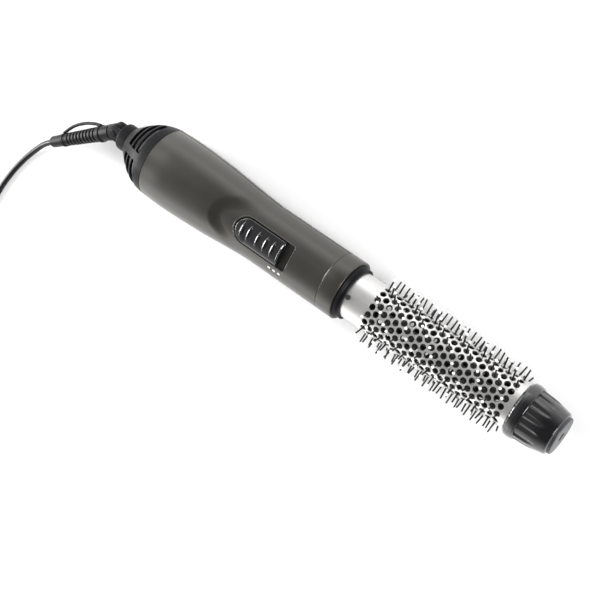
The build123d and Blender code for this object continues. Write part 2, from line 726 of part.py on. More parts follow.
with BuildPart() as contact_rings:
    for contact_station in CONTACT_STATIONS:
        add(ring(contact_station, contact_station + CONTACT_WIDTH, STUB_RADIUS - 0.02, STUB_RADIUS - 0.6))
keep("contact_rings", contact_rings.part)

keep("retaining_ring", ring(-170.8, -170.0, 5.8, STUB_RADIUS - 0.5))

with BuildPart() as knuckle_pin:
    with BuildSketch(EAR.offset(-EAR_OUTER - 0.2)):
        Circle(PIN_RADIUS)
    extrude(amount=2 * EAR_OUTER + 0.4)
keep("knuckle_pin", knuckle_pin.part)

# --- elbow and strain relief -------------------------------------------------------------------
RIB_PITCH = 3.7
RIB_LENGTH = 2.1
RIB_RADIUS = 5.3  # of the rib beside the arm, from which the ribs shrink towards the sleeve
RIB_TAPER = 0.08
ROOT_RADIUS = 3.3
RIBS = 9
SLEEVE_RADIUS = 4.3
SLEEVE_START = ARM_END + RIBS * RIB_PITCH
SLEEVE_TAPER_START = 61.0
LOOP_WIRE = 1.15
LOOP_ROLL = -10.75
LOOP_CLIP = 0.6  # thickness of the loop's two rings

with BuildPart() as elbow_arm:
    with BuildSketch(TONGUE.offset(0.2 - EAR_INNER)):
        Circle(ARM_RADIUS)
        with Locations((4.0, 0)):
            Rectangle(8.0, 9.0)
    extrude(amount=2 * (EAR_INNER - 0.2))
    add(lead_ring(ARM_RADIUS + 0.4, ARM_END, ARM_RADIUS))
    fillet(elbow_arm.edges().filter_by(GeomType.CIRCLE).sort_by_distance(KNUCKLE + EXIT_DIRECTION * 30)[0],
           0.6)
    with BuildSketch(TONGUE.offset(-EAR_INNER)):
        Circle(PIN_RADIUS + 0.05)
    extrude(amount=2 * EAR_INNER, mode=Mode.SUBTRACT)
keep("elbow_arm", elbow_arm.part)


def relief_outline():
    """Half section of the strain relief: ribs on a thinner root, then a plain sleeve."""
    points = [(ARM_END, 0), (ARM_END, ROOT_RADIUS)]
    for rib in range(RIBS):
        start = ARM_END + 1.2 + rib * RIB_PITCH
        outer = RIB_RADIUS - rib * RIB_TAPER
        points += [(start, ROOT_RADIUS), (start, outer), (start + RIB_LENGTH, outer),
                   (start + RIB_LENGTH, ROOT_RADIUS)]
    points += [(SLEEVE_START + 0.6, SLEEVE_RADIUS), (SLEEVE_TAPER_START, SLEEVE_RADIUS),
               (RELIEF_END - 0.8, SLEEVE_RADIUS - 0.25), (RELIEF_END, SLEEVE_RADIUS - 0.8),
               (RELIEF_END, 0)]
    return points


with BuildPart() as strain_relief:
    with BuildSketch(Plane(origin=KNUCKLE, x_dir=EXIT_DIRECTION, z_dir=PIN_DIRECTION)):
        with BuildLine():
            Polyline(*relief_outline(), close=True)
        make_face()
    revolve(axis=LEAD_AXIS)
keep("strain_relief", strain_relief.part)

LOOP_SIDE = LEAD.y_dir * cos(radians(LOOP_ROLL)) + LEAD.x_dir * sin(radians(LOOP_ROLL))
LOOP = Plane(origin=KNUCKLE, x_dir=EXIT_DIRECTION, z_dir=EXIT_DIRECTION.cross(LOOP_SIDE))
LOOP_POINTS = [(16.2, 5.6), (23.0, 7.7), (33.5, 9.0), (45.5, 8.3), (57.2, 5.0)]

with BuildPart() as hanging_loop:
    with BuildLine(LOOP):
        loop_path = Spline(*LOOP_POINTS)
    with BuildSketch(Plane(origin=loop_path @ 0, z_dir=loop_path % 0)):
        Circle(LOOP_WIRE)
    sweep(path=loop_path)
    add(lead_ring(15.2, 18.0, ARM_RADIUS + LOOP_CLIP, ARM_RADIUS))
    add(lead_ring(56.0, 58.8, SLEEVE_RADIUS + LOOP_CLIP, SLEEVE_RADIUS))
    add(lead_ring(ARM_END - 8, ARM_END, ARM_RADIUS), mode=Mode.SUBTRACT)
    add(lead_ring(ARM_END, SLEEVE_TAPER_START, SLEEVE_RADIUS), mode=Mode.SUBTRACT)
keep("hanging_loop", hanging_loop.part)

# --- cord and plug -----------------------------------------------------------------------------
COIL_CENTRE = (-292.6, -150.0)
COIL_RADIUS_MEAN = 24.3
COIL_COLUMNS = 3  # turns side by side
COIL_LAYERS = 4
COIL_WIDTH = COIL_COLUMNS * CORD_DIAMETER
COIL_HEIGHT = COIL_LAYERS * CORD_DIAMETER
FLOOR = CORD_DIAMETER / 2  # height of the cord's centre line where it lies on the surface
COIL_TOP = COIL_HEIGHT - FLOOR  # height of the centre line of the coil's top turns
PLUG_HEIGHT = 6.9

relief_tip = KNUCKLE + EXIT_DIRECTION * RELIEF_END
first_bend = relief_tip + EXIT_DIRECTION * 9.0
CORD_ROUTE = [
    (relief_tip.X, relief_tip.Y, relief_tip.Z),
    (first_bend.X, first_bend.Y, first_bend.Z),
    (-243.5, -53.4, 3.7),
    (-250.2, -63.9, FLOOR),
    (-255.8, -77.5, FLOOR),
    (-260.2, -94.0, FLOOR),
    (-262.6, -112.0, FLOOR),
    (-263.4, -131.0, FLOOR),
    (COIL_CENTRE[0] + COIL_RADIUS_MEAN + CORD_DIAMETER, COIL_CENTRE[1], FLOOR),
]
TAIL_ROUTE = [
    (COIL_CENTRE[0] - COIL_RADIUS_MEAN, COIL_CENTRE[1], COIL_TOP),
    (-317.1, -136.0, COIL_TOP),
    (-318.2, -122.0, 13.4),
    (-320.8, -108.2, 9.0),
    (-324.6, -95.0, PLUG_HEIGHT),
    (-329.4, -81.5, PLUG_HEIGHT),
]


def arc_radii(route):
    """The radius of the arc at each inner point, as large as the two runs beside it allow."""
    radii = []
    for before, here, after in zip(route, route[1:], route[2:]):
        run_in = Vector(*here) - Vector(*before)
        run_out = Vector(*after) - Vector(*here)
        turn = radians(run_in.get_angle(run_out))
        radii.append(0.45 * min(run_in.length, run_out.length) / tan(turn / 2))
    return radii


def cord_tube(name, route):
    """A tube of the cord's diameter along straight runs joined by arcs. Returns its length."""
    radii = arc_radii(route)
    with BuildPart() as tube:
        with BuildLine():
            path = FilletPolyline(*route, radius=radii)
        with BuildSketch(Plane(origin=path @ 0, z_dir=path % 0)):
            Circle(CORD_DIAMETER / 2)
        sweep(path=path)
    section = pi * CORD_DIAMETER**2 / 4
    length = sum(edge.length for edge in path.edges())
    print(name, "radii", [round(radius, 1) for radius in radii], "length", round(length, 1),
          "volume over section times length", round(tube.part.volume / (section * length), 4))
    keep(name, tube.part)
    return length


laid_length = cord_tube("cord", CORD_ROUTE) + cord_tube("cord_tail", TAIL_ROUTE)
coil_turns = (CORD_LENGTH - laid_length) / (2 * pi * COIL_RADIUS_MEAN)
print("turns in the coil", round(coil_turns, 2))

with BuildPart() as cord_coil:
    with BuildSketch(Plane(origin=(*COIL_CENTRE, 0), x_dir=(1, 0, 0), z_dir=(0, -1, 0))):
        with Locations((COIL_RADIUS_MEAN, COIL_HEIGHT / 2)):
            RectangleRounded(COIL_WIDTH, COIL_HEIGHT, FLOOR - 0.1)
    revolve(axis=Axis((*COIL_CENTRE, 0), (0, 0, 1)))
keep("cord_coil", cord_coil.part)

PLUG_SLEEVE = 14.0
PLUG_FACE = 38.0
PLUG_WIDTH = 34.0
PLUG_THICKNESS = 13.6
PIN_SPREAD = 18.6
PLUG_PIN_RADIUS = 2.0
PLUG_PIN_LENGTH = 19.0

plug_heading = Vector(*TAIL_ROUTE[-1]) - Vector(*TAIL_ROUTE[-2])
PLUG = Plane(origin=TAIL_ROUTE[-1], x_dir=plug_heading.cross(Vector(0, 0, 1)), z_dir=plug_heading)

with BuildPart() as plug_body:
    with BuildSketch(PLUG.offset(PLUG_SLEEVE)):
        RectangleRounded(13.0, 9.5, 4.0)
    with BuildSketch(PLUG.offset(PLUG_FACE - 10.0)):
        RectangleRounded(PLUG_WIDTH, PLUG_THICKNESS, 6.0)
    loft()
    with BuildSketch(PLUG.offset(PLUG_FACE - 10.0)):
        RectangleRounded(PLUG_WIDTH, PLUG_THICKNESS, 6.0)
    extrude(amount=10.0)
    with BuildSketch(PLUG):
        Circle(CORD_DIAMETER / 2 + 0.7)
    extrude(amount=PLUG_SLEEVE)
    for rib in range(4):
        with BuildSketch(PLUG.offset(2.0 + 3.0 * rib)):
            Circle(CORD_DIAMETER / 2 + 1.4)
        extrude(amount=1.7)
keep("plug_body", plug_body.part)

with BuildPart() as plug_pins:
    with BuildSketch(PLUG.offset(PLUG_FACE)):
        with Locations((PIN_SPREAD / 2, 0), (-PIN_SPREAD / 2, 0)):
            Circle(PLUG_PIN_RADIUS)
    extrude(amount=PLUG_PIN_LENGTH)
    fillet(plug_pins.faces().sort_by(Axis(PLUG.origin, PLUG.z_dir))[-2:].edges(), 1.2)
keep("plug_pins", plug_pins.part)
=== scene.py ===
import json
from math import asin, cos, degrees, pi, radians, sin, sqrt

import bmesh
import bpy
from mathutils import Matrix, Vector


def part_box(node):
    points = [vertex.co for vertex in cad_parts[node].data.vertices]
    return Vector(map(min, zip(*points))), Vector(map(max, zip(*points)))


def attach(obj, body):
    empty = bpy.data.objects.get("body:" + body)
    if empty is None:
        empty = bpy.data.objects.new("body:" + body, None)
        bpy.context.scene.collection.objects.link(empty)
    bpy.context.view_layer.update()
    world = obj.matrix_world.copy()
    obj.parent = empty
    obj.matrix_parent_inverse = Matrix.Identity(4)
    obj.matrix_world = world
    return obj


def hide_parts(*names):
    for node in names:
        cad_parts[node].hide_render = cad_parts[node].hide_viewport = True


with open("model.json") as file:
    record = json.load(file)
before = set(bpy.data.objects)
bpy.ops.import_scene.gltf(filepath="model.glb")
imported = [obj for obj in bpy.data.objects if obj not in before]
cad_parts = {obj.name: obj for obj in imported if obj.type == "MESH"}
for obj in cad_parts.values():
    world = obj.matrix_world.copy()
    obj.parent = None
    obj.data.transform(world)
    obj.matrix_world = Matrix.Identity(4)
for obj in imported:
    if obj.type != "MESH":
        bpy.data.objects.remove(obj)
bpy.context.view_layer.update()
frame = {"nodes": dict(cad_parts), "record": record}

# Hot air brush. Stations run along the handle's axis from the nose, towards the tip, and are in
# millimetres like the radii and heights, which are measured from that axis.

MM = 0.001
BARREL_LOW, BARREL_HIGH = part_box("barrel")
NOSE = Vector((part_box("nose_sleeve")[1].x, 0.0, (BARREL_LOW.z + BARREL_HIGH.z) / 2))
AHEAD = Vector((1, 0, 0))
ASIDE = Vector((0, 1, 0))
ABOVE = Vector((0, 0, 1))

# --- camera ------------------------------------------------------------------------------------
CAMERA_LENS = 77.32
CAMERA_FROM_NOSE = Vector((0.26992, 0.23074, 0.72875))
CAMERA_TURNS = (-4.817, 27.856, 30.386)
camera_data = bpy.data.cameras.new("camera")
camera_data.lens = CAMERA_LENS
camera_data.sensor_width = 36.0
camera = bpy.data.objects.new("camera", camera_data)
camera.location = NOSE + CAMERA_FROM_NOSE
camera.rotation_euler = [radians(angle) for angle in CAMERA_TURNS]
bpy.context.scene.collection.objects.link(camera)
bpy.context.scene.camera = camera


# --- materials ---------------------------------------------------------------------------------
def surface(name, colour, roughness, metallic=0.0, spread=0.12, grain=900.0, bump=0.08,
            relief=0.00004, patches=45.0, uneven=0.05, coat=0.0, specular=0.5,
            specular_tint=(1, 1, 1), stretch=(1, 1, 1)):
    """A material with fine grain in its colour and relief, and broad patches in its gloss."""
    material = bpy.data.materials.new(name)
    material.use_nodes = True
    nodes = material.node_tree.nodes
    links = material.node_tree.links
    shader = nodes["Principled BSDF"]
    shader.inputs["Metallic"].default_value = metallic
    shader.inputs["Coat Weight"].default_value = coat
    shader.inputs["Coat Roughness"].default_value = 0.06
    shader.inputs["Specular IOR Level"].default_value = specular
    shader.inputs["Specular Tint"].default_value = (*specular_tint, 1)
    coordinates = nodes.new("ShaderNodeTexCoord")
    mapping = nodes.new("ShaderNodeMapping")
    mapping.inputs["Scale"].default_value = stretch
    links.new(coordinates.outputs["Object"], mapping.inputs["Vector"])

    fine = nodes.new("ShaderNodeTexNoise")
    fine.inputs["Scale"].default_value = grain
    fine.inputs["Detail"].default_value = 3.0
    links.new(mapping.outputs["Vector"], fine.inputs["Vector"])
    broad = nodes.new("ShaderNodeTexNoise")
    broad.inputs["Scale"].default_value = patches
    broad.inputs["Detail"].default_value = 4.0
    links.new(coordinates.outputs["Object"], broad.inputs["Vector"])

    tint = nodes.new("ShaderNodeMix")
    tint.data_type = "RGBA"
    tint.inputs["A"].default_value = (*[value * (1 - spread) for value in colour], 1)
    tint.inputs["B"].default_value = (*[min(1.0, value * (1 + spread)) for value in colour], 1)
    links.new(fine.outputs["Fac"], tint.inputs["Factor"])
    links.new(tint.outputs["Result"], shader.inputs["Base Color"])

    gloss = nodes.new("ShaderNodeMapRange")
    gloss.inputs["From Min"].default_value = 0.3
    gloss.inputs["From Max"].default_value = 0.7
    gloss.inputs["To Min"].default_value = max(0.02, roughness - uneven)
    gloss.inputs["To Max"].default_value = roughness + uneven
    links.new(broad.outputs["Fac"], gloss.inputs["Value"])
    links.new(gloss.outputs["Result"], shader.inputs["Roughness"])

    height = nodes.new("ShaderNodeBump")
    height.inputs["Strength"].default_value = bump
    height.inputs["Distance"].default_value = relief
    links.new(fine.outputs["Fac"], height.inputs["Height"])
    links.new(height.outputs["Normal"], shader.inputs["Normal"])
    return material


MATERIALS = {
    "handle_finish": surface("handle_finish", (0.012, 0.0116, 0.0100), 0.31, spread=0.35,
                             grain=3200.0, bump=0.25, uneven=0.03, specular=0.85,
                             specular_tint=(1.0, 0.97, 0.89)),
    "black_plastic": surface("black_plastic", (0.006, 0.006, 0.007), 0.42, grain=1800.0,
                             bump=0.15, specular=0.1),
    "inner_plastic": surface("inner_plastic", (0.05, 0.05, 0.055), 0.55, grain=900.0),
    "gloss_black": surface("gloss_black", (0.003, 0.003, 0.004), 0.08, grain=700.0, bump=0.03,
                           uneven=0.02, coat=0.8, specular=0.6),
    "bezel_grey": surface("bezel_grey", (0.060, 0.058, 0.052), 0.20, metallic=0.3, grain=1500.0),
    "mark_white": surface("mark_white", (0.85, 0.85, 0.83), 0.5, spread=0.04, grain=2500.0),
    "barrel_metal": surface("barrel_metal", (0.70, 0.69, 0.68), 0.34, metallic=1.0, spread=0.05,
                            grain=600.0, bump=0.10, stretch=(0.12, 1, 1), uneven=0.04),
    "bristle_nylon": surface("bristle_nylon", (0.006, 0.006, 0.006), 0.38, grain=1500.0),
    # The bristle balls are painted near white: a painted highlight that stands in for the glints on
    # their glossy tips.
    "ball_white": surface("ball_white", (0.86, 0.86, 0.84), 0.35, spread=0.03, grain=1500.0),
    "disc_grey": surface("disc_grey", (0.035, 0.037, 0.041), 0.30, grain=2200.0, bump=0.2),
    "steel": surface("steel", (0.15, 0.15, 0.15), 0.30, metallic=1.0, spread=0.06, grain=1200.0),
    "magnet": surface("magnet", (0.08, 0.08, 0.085), 0.6, metallic=0.4, grain=1500.0, bump=0.3),
    "copper": surface("copper", (0.30, 0.18, 0.10), 0.45, metallic=1.0, spread=0.08),
    "mica": surface("mica", (0.72, 0.68, 0.56), 0.45, spread=0.15, grain=400.0),
    "board": surface("board", (0.32, 0.20, 0.09), 0.5, spread=0.15, grain=1200.0),
    "component_black": surface("component_black", (0.03, 0.03, 0.035), 0.4),
    "relief_rubber": surface("relief_rubber", (0.008, 0.008, 0.008), 0.40, grain=1500.0,
                             bump=0.2, specular=0.12),
    "cord_sheath": surface("cord_sheath", (0.007, 0.007, 0.008), 0.34, grain=1100.0, bump=0.15,
                           specular=0.25),
    "plug_plastic": surface("plug_plastic", (0.014, 0.014, 0.015), 0.38, grain=1500.0, bump=0.2),
    "plug_metal": surface("plug_metal", (0.80, 0.80, 0.80), 0.16, metallic=1.0, spread=0.03),
}


# --- helpers -----------------------------------------------------------------------------------
class Turning:
    """A straight axis that pieces are turned about, with a direction that angles start from."""

    def __init__(self, origin, along, start):
        self.origin = origin
        self.along = along.normalized()
        self.start = start.normalized()
        self.side = self.along.cross(self.start)

    def at(self, station, radius, angle=0.0):
        outward = self.start * cos(radians(angle)) + self.side * sin(radians(angle))
        return self.origin + (self.along * station + outward * radius) * MM


HANDLE = Turning(NOSE, AHEAD, ASIDE)


def rounded(outline, steps=4):
    """An outline of (station, radius) or (station, radius, corner radius) points, with arcs."""
    points = []
    for index, point in enumerate(outline):
        here = Vector(point[:2])
        if len(point) == 2 or index in (0, len(outline) - 1):
            points.append(here)
            continue
        before = Vector(outline[index - 1][:2]) - here
        after = Vector(outline[index + 1][:2]) - here
        half = before.angle(after) / 2
        # No arc takes more than about half of a run beside it.
        reach = min(point[2] / max(0.05, sin(half)) * cos(half), 0.49 * before.length,
                    0.49 * after.length)
        first = here + before.normalized() * reach
        last = here + after.normalized() * reach
        for step in range(steps + 1):
            share = step / steps
            points.append(first * (1 - share) ** 2 + here * 2 * share * (1 - share)
                          + last * share ** 2)
    return points


def curve_through(knots, count):
    """Points of a smooth curve through the knots, which are tuples of any length."""
    spans = len(knots) - 1
    ends = [knots[0], *knots, knots[-1]]
    points = []
    for index in range(count + 1):
        place = min(index / count * spans, spans - 1e-9)
        span = int(place)
        t = place - span
        a, b, c, d = ends[span:span + 4]
        points.append(tuple(
            0.5 * (2 * q + (r - p) * t + (2 * p - 5 * q + 4 * r - s) * t ** 2
                   + (3 * q - p - 3 * r + s) * t ** 3)
            for p, q, r, s in zip(a, b, c, d)))
    return points


def height_on(knots, station):
    """The second value of a smooth curve through (station, value) knots at a station."""
    if station <= knots[0][0]:
        return knots[0][1]
    for index in range(len(knots) - 1):
        (x0, y0), (x1, y1) = knots[index], knots[index + 1]
        if station <= x1:
            before = knots[index - 1] if index else knots[0]
            after = knots[index + 2] if index + 2 < len(knots) else knots[-1]
            slope_in = (y1 - before[1]) / (x1 - before[0])
            slope_out = (after[1] - y0) / (after[0] - x0)
            t = (station - x0) / (x1 - x0)
            width = x1 - x0
            return ((2 * t ** 3 - 3 * t ** 2 + 1) * y0
                    + (t ** 3 - 2 * t ** 2 + t) * width * slope_in
                    + (3 * t ** 2 - 2 * t ** 3) * y1
                    + (t ** 3 - t ** 2) * width * slope_out)
    return knots[-1][1]


def ease(share):
    """Goes smoothly from 0 to 1."""
    share = min(1.0, max(0.0, share))
    return share * share * (3 - 2 * share)


def grid(bm, rows, closed=False, skip=None):
    """Quads between rows of points, which have one length. Returns the rows of vertices."""
    made = [[bm.verts.new(point) for point in row] for row in rows]
    for r in range(len(made) - 1):
        width = len(made[r])
        for c in range(width if closed else width - 1):
            if skip and skip(r, c):
                continue
            n = (c + 1) % width
            bm.faces.new((made[r][c], made[r][n], made[r + 1][n], made[r + 1][c]))
    return made


def closed_ring(bm, rows):
    """Closed rows whose last one joins the first, as in a ring with a hole through it."""
    made = grid(bm, rows, closed=True)
    count = len(made[0])
    for c in range(count):
        n = (c + 1) % count
        bm.faces.new((made[-1][c], made[-1][n], made[0][n], made[0][c]))


def lathe(bm, turning, profile, segments=96):
    """A turned form. A profile that starts or ends on the axis is closed there by a fan."""
    fanned = profile[0][1] < 1e-6 and profile[-1][1] < 1e-6
    rows = [[turning.at(station, radius, 360 * c / segments) for c in range(segments)]
            for station, radius in (profile[1:-1] if fanned else profile)]
    if not fanned:
        closed_ring(bm, rows)
        return
    made = grid(bm, rows, closed=True)
    for row, end in ((made[0], profile[0]), (made[-1], profile[-1])):
        tip = bm.verts.new(turning.at(end[0], 0.0))
        for c in range(segments):
            bm.faces.new((row[c], row[(c + 1) % segments], tip))


def prism(bm, corners_low, corners_high):
    """A solid between two outlines with the same number of points."""
    low = [bm.verts.new(point) for point in corners_low]
    high = [bm.verts.new(point) for point in corners_high]
    count = len(low)
    bm.faces.new(low)
    bm.faces.new(high)
    for c in range(count):
        n = (c + 1) % count
        bm.faces.new((low[c], low[n], high[n], high[c]))


def piece(name, bm, body, slot, nodes=(), smooth=35.0, bevel=None, rounds=3,
          thicken=None, grip=40.0):
    """Turns a bmesh into a finished piece: its normals, edges, material, body and CAD nodes."""
    bmesh.ops.remove_doubles(bm, verts=bm.verts, dist=1e-6)
    bmesh.ops.recalc_face_normals(bm, faces=bm.faces)
    mesh = bpy.data.meshes.new(name)
    bm.to_mesh(mesh)
    bm.free()
    mesh.shade_smooth()
    mesh.set_sharp_from_angle(angle=radians(smooth))
    mesh.materials.append(MATERIALS[slot])
    made = bpy.data.objects.new(name, mesh)
    bpy.context.scene.collection.objects.link(made)
    if thicken:
        wall = made.modifiers.new("wall", "SOLIDIFY")
        wall.thickness = thicken * MM
        wall.offset = -1.0
        wall.use_even_offset = True
    if bevel:
        edges = made.modifiers.new("edges", "BEVEL")
        edges.width = bevel * MM
        edges.segments = rounds
        edges.limit_method = "ANGLE"
        edges.angle_limit = radians(grip)
        edges.harden_normals = True
    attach(made, body)
    if nodes:
        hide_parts(*nodes)
    return made


# --- cord --------------------------------------------------------------------------------------
# The cord's points are places in the frame, in millimetres, with their heights above the floor.
KNUCKLE_STATION = -205.0
ELBOW_BEND = radians(37.2)
ELBOW_ROLL = radians(203.2)
RELIEF_END = 71.5
BESIDE = ASIDE * cos(ELBOW_ROLL) + ABOVE * sin(ELBOW_ROLL)
EXIT = -AHEAD * cos(ELBOW_BEND) + BESIDE * sin(ELBOW_BEND)
PIN_LINE = BESIDE.cross(AHEAD).normalized()
KNUCKLE = HANDLE.at(KNUCKLE_STATION, 0.0)
LEAD = Turning(KNUCKLE, EXIT, PIN_LINE)

CORD_DIAMETER = 4.2
FLOOR = CORD_DIAMETER / 2
COIL_CENTRE = (-292.6, -150.0)
COIL_MEAN = 24.3
COIL_TOP = 7 * FLOOR
PLUG_HEIGHT = 6.9
relief_tip = KNUCKLE + EXIT * RELIEF_END * MM
first_bend = relief_tip + EXIT * 9.0 * MM
cord_points = [tuple(relief_tip / MM), tuple(first_bend / MM), (-243.5, -53.4, 3.7),
               (-250.2, -63.9, FLOOR), (-255.8, -77.5, FLOOR), (-260.2, -94.0, FLOOR),
               (-262.6, -112.0, FLOOR), (-263.4, -131.0, FLOOR),
               (COIL_CENTRE[0] + COIL_MEAN + CORD_DIAMETER, COIL_CENTRE[1], FLOOR)]

# The coil is wound column by column and layer by layer. Each turn rises, and then moves over to
# the next column, just before it is whole.
OUTER, MIDDLE, INNER = COIL_MEAN + CORD_DIAMETER, COIL_MEAN, COIL_MEAN - CORD_DIAMETER
TURN_RADII = [OUTER, MIDDLE, INNER, INNER, MIDDLE, OUTER, OUTER, MIDDLE, INNER, INNER, MIDDLE]
TURN_LAYERS = [0, 0, 0, 1, 1, 1, 2, 2, 2, 3, 3]
PER_TURN = 16
TURNS_TO_TAIL = 10.5
OVER_FROM = 5 / 6
UP_FROM = 3 / 4
MOVES_PER_TURN = 6  # a rise, or a move to the next column, takes a sixth of a turn
for step in range(1, round(TURNS_TO_TAIL * PER_TURN)):
    turned = step / PER_TURN
    turn = int(turned)
    following = min(turn + 1, len(TURN_RADII) - 1)
    over = ease((turned - turn - OVER_FROM) * MOVES_PER_TURN)
    up = ease((turned - turn - UP_FROM) * MOVES_PER_TURN)
    radius = TURN_RADII[turn] + (TURN_RADII[following] - TURN_RADII[turn]) * over
    layer = TURN_LAYERS[turn] + (TURN_LAYERS[following] - TURN_LAYERS[turn]) * up
    # The spline passes inside its control points, so they lie a little outside the turn.
    reach = radius / cos(pi / PER_TURN)
    cord_points.append((COIL_CENTRE[0] + reach * cos(2 * pi * turned),
                        COIL_CENTRE[1] - reach * sin(2 * pi * turned),
                        FLOOR + layer * CORD_DIAMETER))
cord_points += [(COIL_CENTRE[0] - COIL_MEAN, COIL_CENTRE[1], COIL_TOP), (-317.1, -136.0, COIL_TOP),
                (-318.2, -122.0, 13.4), (-320.8, -108.2, 9.0), (-324.6, -95.0, PLUG_HEIGHT),
                (-329.4, -81.5, PLUG_HEIGHT)]

cord_curve = bpy.data.curves.new("cord_line", "CURVE")
cord_curve.dimensions = "3D"
cord_spline = cord_curve.splines.new("NURBS")
cord_spline.points.add(len(cord_points) - 1)
for control, point in zip(cord_spline.points, cord_points):
    control.co = (*[value * MM for value in point], 1.0)
cord_spline.order_u = 3
cord_spline.use_endpoint_u = True
cord_spline.resolution_u = 6
cord_curve.bevel_depth = FLOOR * MM
cord_curve.bevel_resolution = 6
cord_curve.use_fill_caps = True
cord_curve.materials.append(MATERIALS["cord_sheath"])
cord = bpy.data.objects.new("mains_cord", cord_curve)
bpy.context.scene.collection.objects.link(cord)
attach(cord, "cord_elbow")
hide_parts("cord", "cord_coil", "cord_tail")

# --- handle shells -----------------------------------------------------------------------------
HANDLE_RADIUS = 20.6
HANDLE_WALL = 2.2
CAP_SEAM = -160.5
SLEEVE_SEAM = -11.8
BULGE = [(CAP_SEAM, 25.1), (-143.0, 25.37), (-112.0, 24.0), (-82.5, 21.45), (-68.5, HANDLE_RADIUS)]
ARCH = [(-104.0, 0.0), (-103.2, 4.4), (-101.5, 8.0), (-99.0, 11.0), (-92.0, 15.8), (-86.0, 18.5),
        (-80.6, 20.2), (-74.0, 21.6), (-66.0, 23.0)]
ARCH_STEP = 9.5
ARCH_LINE = [Vector(point) for point in curve_through(ARCH, 64)]
SHELL_SEGMENTS = 120
CASING_SMOOTH = 40.0
END_CHAMFER = 0.3
PARTING_DEPTH = 0.35
PARTING_TURN = 1.2  # degrees that each half is cut back outside, for the groove between them


def bulge_radius(station):
    return height_on(BULGE, station) if station < BULGE[-1][0] else HANDLE_RADIUS


def arch_depth(station, across):
    """How far a point seen from above lies inside the arch, from its edge. Outside, it is 0."""
    across = abs(across)
    if station < ARCH[0][0]:
        return 0.0
    place = Vector((station, across))
    best = 1e9
    inside = False
    for a, b in zip(ARCH_LINE, ARCH_LINE[1:]):
        run = b - a
        t = min(1.0, max(0.0, (place - a).dot(run) / run.length_squared))
        best = min(best, (place - a - run * t).length)
        if a.x <= station < b.x:
            inside = across < a.y + (b.y - a.y) * (station - a.x) / run.x
    return best if inside else 0.0


def shell_radius(station, angle):
    full = bulge_radius(station)
    if station < ARCH[0][0] or station > BULGE[-1][0] or sin(radians(angle)) <= 0:
        return full
    depth = arch_depth(station, full * cos(radians(angle)))
    return full + (HANDLE_RADIUS - full) * ease(depth / ARCH_STEP)


def shell_stations():
    """Stations along the casing, which lie closest together where the arch is."""
    stations = [CAP_SEAM + 0.02, CAP_SEAM + 0.35]
    spot = CAP_SEAM + 1.5
    for pitch, end in ((1.5, -106.0), (0.5, -64.0), (1.0, SLEEVE_SEAM - 1.0)):
        while spot < end:
            stations.append(spot)
            spot += pitch
    return stations + [SLEEVE_SEAM - 0.45, SLEEVE_SEAM - 0.1]


def shell_half(name, first_angle, node, cut=None):
    """Half of the casing as a solid wall, cut back outside where it meets its neighbours."""
    bm = bmesh.new()
    stations = shell_stations()
    outer = []
    inner = []
    for station in stations:
        end_chamfer = END_CHAMFER if station in (stations[0], stations[-1]) else 0.0
        row = []
        row_in = []
        for step in range(SHELL_SEGMENTS + 1):
            whole = first_angle + 180 * step / SHELL_SEGMENTS
            angle = whole + {0: PARTING_TURN, SHELL_SEGMENTS: -PARTING_TURN}.get(step, 0.0)
            radius = shell_radius(station, angle)
            drawn_in = PARTING_DEPTH if step in (0, SHELL_SEGMENTS) else end_chamfer
            row.append(HANDLE.at(station, radius - drawn_in, angle))
            inside = min(radius, bulge_radius(station)) - HANDLE_WALL
            row_in.append(HANDLE.at(station, inside, whole))
        outer.append(row)
        inner.append(row_in)
    made_out = grid(bm, outer)
    made_in = grid(bm, inner)
    last = len(stations) - 1
    for r in range(last):
        for c in (0, SHELL_SEGMENTS):
            bm.faces.new((made_out[r][c], made_out[r + 1][c], made_in[r + 1][c], made_in[r][c]))
    for c in range(SHELL_SEGMENTS):
        for r in (0, last):
            bm.faces.new((made_out[r][c], made_out[r][c + 1], made_in[r][c + 1], made_in[r][c]))
    made = piece(name, bm, "handle", "handle_finish", [node], smooth=CASING_SMOOTH)
    if cut:
        hole = made.modifiers.new("recess", "BOOLEAN")
        hole.operation = "DIFFERENCE"
        hole.solver = "EXACT"
        hole.object = cut
        bpy.context.view_layer.update()
        depsgraph = bpy.context.evaluated_depsgraph_get()
        mesh = bpy.data.meshes.new_from_object(made.evaluated_get(depsgraph))
        made.modifiers.remove(hole)
        made.data = mesh
        mesh.shade_smooth()
        mesh.set_sharp_from_angle(angle=radians(CASING_SMOOTH))
    return made


RECESS_REAR, RECESS_FRONT, RECESS_WIDTH = -84.0, -37.9, 20.0
RECESS_CORNER = 2.0


def recess_outline(inset):
    """The switch recess seen from above: a round rear end and a squared front end."""
    half = RECESS_WIDTH / 2 - inset
    rear = RECESS_REAR + inset
    front = RECESS_FRONT - inset
    corner = max(0.3, RECESS_CORNER - inset)
    points = [(rear + half - half * sin(radians(angle)), half * cos(radians(angle)))
              for angle in range(0, 181, 5)]
    for first, centre in ((-90, corner - half), (0, half - corner)):
        for degree in range(first, first + 91, 15):
            angle = radians(degree)
            points.append((front - corner + corner * cos(angle), centre + corner * sin(angle)))
    return points


def above(station, across, height):
    """A point over the axis: a station, a distance to the side and a height."""
    return NOSE + Vector((station, across, height)) * MM


